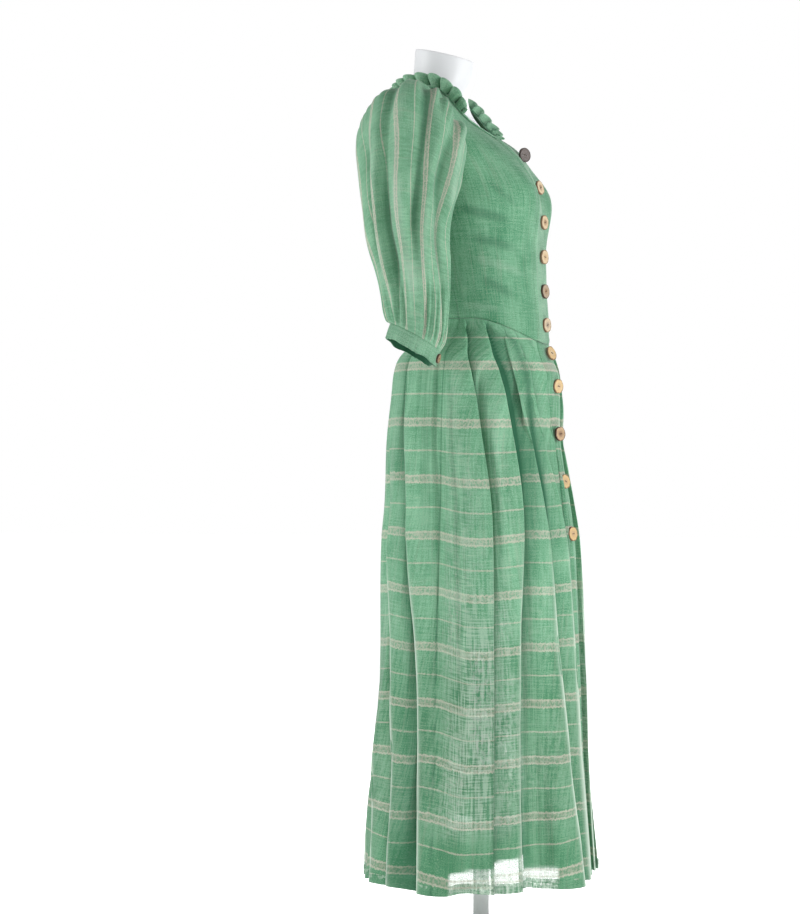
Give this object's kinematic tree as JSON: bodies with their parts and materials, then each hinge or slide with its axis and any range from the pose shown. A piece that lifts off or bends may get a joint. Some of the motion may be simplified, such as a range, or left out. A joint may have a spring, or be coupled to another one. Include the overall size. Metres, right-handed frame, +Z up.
{
  "type": "dirndl on a dress form",
  "caption": "Long green linen dirndl with puffed sleeves, stag-horn buttons and woven stripes, on a limbless dress form.",
  "frame": {"origin": "centre of the round stand's underside, on the floor", "axes": "+Z up along the stand's pole, -Y the way the wearer faces, +X towards the wearer's left"},
  "size_m": [0.531, 0.3661, 1.4184],
  "materials": {
    "linen": "matte, loosely woven, with slubs and pale stripes",
    "horn": "satin",
    "form_cover": "matte",
    "stand": "satin"
  },
  "bodies": {
    "root": {"bodice_front_right": "linen", "bodice_front_left": "linen", "bodice_back": "linen", "skirt_front_right": "linen", "skirt_front_left": "linen", "skirt_back": "linen", "bodice_band": "linen", "skirt_placket": "linen", "neck_binding": "linen", "neck_frill": "linen", "sleeve_right": "linen", "cuff_right": "linen", "sleeve_left": "linen", "cuff_left": "linen", "cuff_button_right": "horn", "cuff_button_left": "horn", "button_1": "horn", "button_2": "horn", "button_3": "horn", "button_4": "horn", "button_5": "horn", "button_6": "horn", "button_7": "horn", "button_8": "horn", "button_9": "horn", "button_10": "horn", "button_11": "horn", "dress_form": "form_cover", "stand_pole": "stand", "stand_base": "stand"}
  },
  "joints": []
}
